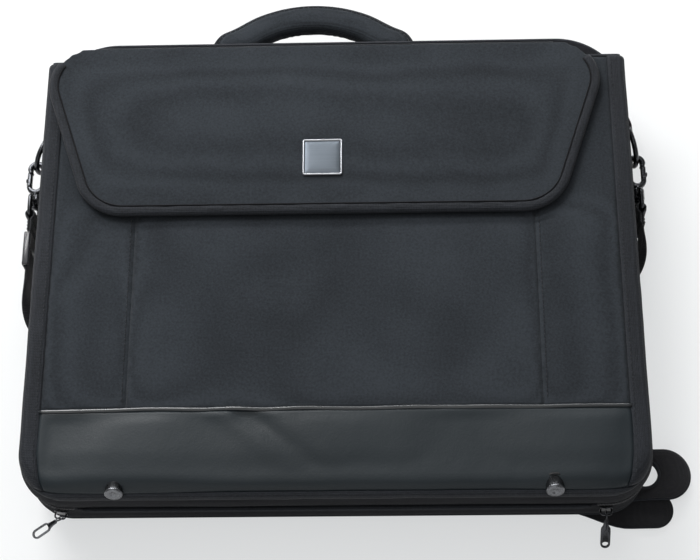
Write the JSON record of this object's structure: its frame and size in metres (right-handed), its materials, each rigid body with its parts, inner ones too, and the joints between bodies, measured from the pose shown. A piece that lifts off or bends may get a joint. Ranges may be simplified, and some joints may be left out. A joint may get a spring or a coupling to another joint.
{
  "type": "laptop case",
  "caption": "Soft padded laptop case lying on its back: zipped halves hinged along the foot edge, a front pocket with a flap, a carry handle and a clipped shoulder strap.",
  "frame": {"origin": "on the surface the case lies on, below the middle of its body between the two side faces and between the foot and handle edges", "axes": "+X across the front towards the right-hand side as the front is read with the handle at the top, +Y from the foot edge to the handle edge, +Z out of the front face"},
  "size_m": [0.4588, 0.407, 0.0866],
  "materials": {
    "case_fabric": "matte dense woven cloth over foam",
    "webbing": "matte ribbed webbing and binding tape",
    "smooth_band": "smooth coated cloth with a soft sheen",
    "lining": "smooth grey lining cloth",
    "board": "plain stiffener sheet",
    "fastener_tape": "hook-and-loop tape",
    "zip_teeth": "moulded coil teeth",
    "dark_metal": "dark polished plating",
    "bright_metal": "satin silver metal",
    "badge_face": "bare brushed plate, dark blue-grey",
    "slide_plastic": "moulded, soft sheen"
  },
  "bodies": {
    "rear_half": {"rear_shell": "case_fabric", "rear_board": "board", "rear_lining": "lining", "rear_tape": "webbing", "rear_teeth": "zip_teeth", "hinge_piping": "webbing", "hinge_strip": "case_fabric", "laptop_strap": "webbing", "laptop_strap_tab": "fastener_tape", "handle_anchors": "webbing", "ring_tab_left": "webbing", "ring_tab_right": "webbing", "hook_left": "dark_metal", "hook_right": "dark_metal", "strap_left": "webbing", "strap_right": "webbing", "strap_middle": "webbing", "pad_upper": "case_fabric", "pad_lower": "case_fabric"},
    "lid_half": {"lid_shell": "case_fabric", "lid_board": "board", "lid_lining": "lining", "lid_tape": "webbing", "lid_teeth": "zip_teeth", "organiser_pocket": "lining", "pen_loops": "webbing", "pocket_shell": "case_fabric", "middle_panel": "case_fabric", "side_panels": "case_fabric", "edge_strips": "webbing", "foot_band": "smooth_band", "band_welt": "smooth_band", "foot_binding": "webbing", "front_feet": "dark_metal", "foot_rivets": "dark_metal", "flap_strip": "case_fabric", "flap_loops": "fastener_tape"},
    "flap": {"flap_panel": "case_fabric", "flap_lining": "lining", "flap_binding": "webbing", "flap_hooks": "fastener_tape", "badge_rim": "bright_metal", "badge_plate": "badge_face"},
    "handle": {"handle_grip": "case_fabric", "handle_piping": "webbing", "handle_legs": "webbing"},
    "ring_left": {"ring_left": "dark_metal"},
    "ring_right": {"ring_right": "dark_metal"},
    "gate_left": {"gate_left": "dark_metal"},
    "gate_right": {"gate_right": "dark_metal"},
    "swivel_left": {"swivel_left": "dark_metal", "web_loop_left": "webbing"},
    "swivel_right": {"swivel_right": "dark_metal", "web_loop_right": "webbing"},
    "strap_slide": {"strap_slide": "slide_plastic"},
    "slider_left": {"slider_left": "dark_metal"},
    "slider_right": {"slider_right": "dark_metal"},
    "pull_left": {"pull_left": "bright_metal"},
    "pull_right": {"pull_right": "dark_metal"}
  },
  "joints": [
    {"name": "lid_opens", "type": "hinge", "parent": "rear_half", "child": "lid_half", "pos_m": [0, -0.162, 0.04], "axis": [1, 0, 0], "range_deg": [0, 95]},
    {"name": "flap_lifts", "type": "hinge", "parent": "lid_half", "child": "flap", "pos_m": [0, 0.1602, 0.07875], "axis": [-1, 0, 0], "range_deg": [0, 170]},
    {"name": "handle_lifts", "type": "hinge", "parent": "rear_half", "child": "handle", "pos_m": [-0.018, 0.1756, 0.03], "axis": [1, 0, 0], "range_deg": [-12, 55]},
    {"name": "ring_left_turns", "type": "hinge", "parent": "rear_half", "child": "ring_left", "pos_m": [-0.2069, 0.113, 0.023], "axis": [0, 0, 1], "range_deg": [-2, 2]},
    {"name": "ring_right_turns", "type": "hinge", "parent": "rear_half", "child": "ring_right", "pos_m": [0.2069, 0.113, 0.023], "axis": [0, 0, 1], "range_deg": [-2, 2]},
    {"name": "gate_left_opens", "type": "hinge", "parent": "rear_half", "child": "gate_left", "pos_m": [-0.22112, 0.08029, 0.023], "axis": [0, 0, -1], "range_deg": [0, 22], "stiffness_Nm_per_rad": 0.02},
    {"name": "swivel_left_turns", "type": "hinge", "parent": "rear_half", "child": "swivel_left", "pos_m": [-0.21632, 0.06429, 0.023], "axis": [0, 1, 0], "range_deg": [-15, 15]},
    {"name": "gate_right_opens", "type": "hinge", "parent": "rear_half", "child": "gate_right", "pos_m": [0.2171, 0.07886, 0.023], "axis": [0, 0, 1], "range_deg": [0, 22], "stiffness_Nm_per_rad": 0.02},
    {"name": "swivel_right_turns", "type": "hinge", "parent": "rear_half", "child": "swivel_right", "pos_m": [0.2123, 0.06286, 0.023], "axis": [0, 1, 0], "range_deg": [-15, 15]},
    {"name": "slide_moves", "type": "slide", "parent": "rear_half", "child": "strap_slide", "axis": [0, -1, 0], "range_m": [0, 0.008]},
    {"name": "slider_left_runs", "type": "hinge", "parent": "rear_half", "child": "slider_left", "pos_m": [-0.175, -0.133, 0.0317], "axis": [0, 0, -1], "range_deg": [-10, 80]},
    {"name": "slider_right_runs", "type": "hinge", "parent": "rear_half", "child": "slider_right", "pos_m": [0.175, -0.133, 0.0317], "axis": [0, 0, 1], "range_deg": [0, 90]},
    {"name": "pull_left_swings", "type": "hinge", "parent": "slider_left", "child": "pull_left", "pos_m": [-0.18083, -0.16609, 0.0357], "axis": [-0.9848, 0.1736, 0], "range_deg": [-18, 20]},
    {"name": "pull_right_swings", "type": "hinge", "parent": "slider_right", "child": "pull_right", "pos_m": [0.175, -0.1666, 0.0357], "axis": [1, 0, 0], "range_deg": [-40, 25]}
  ]
}
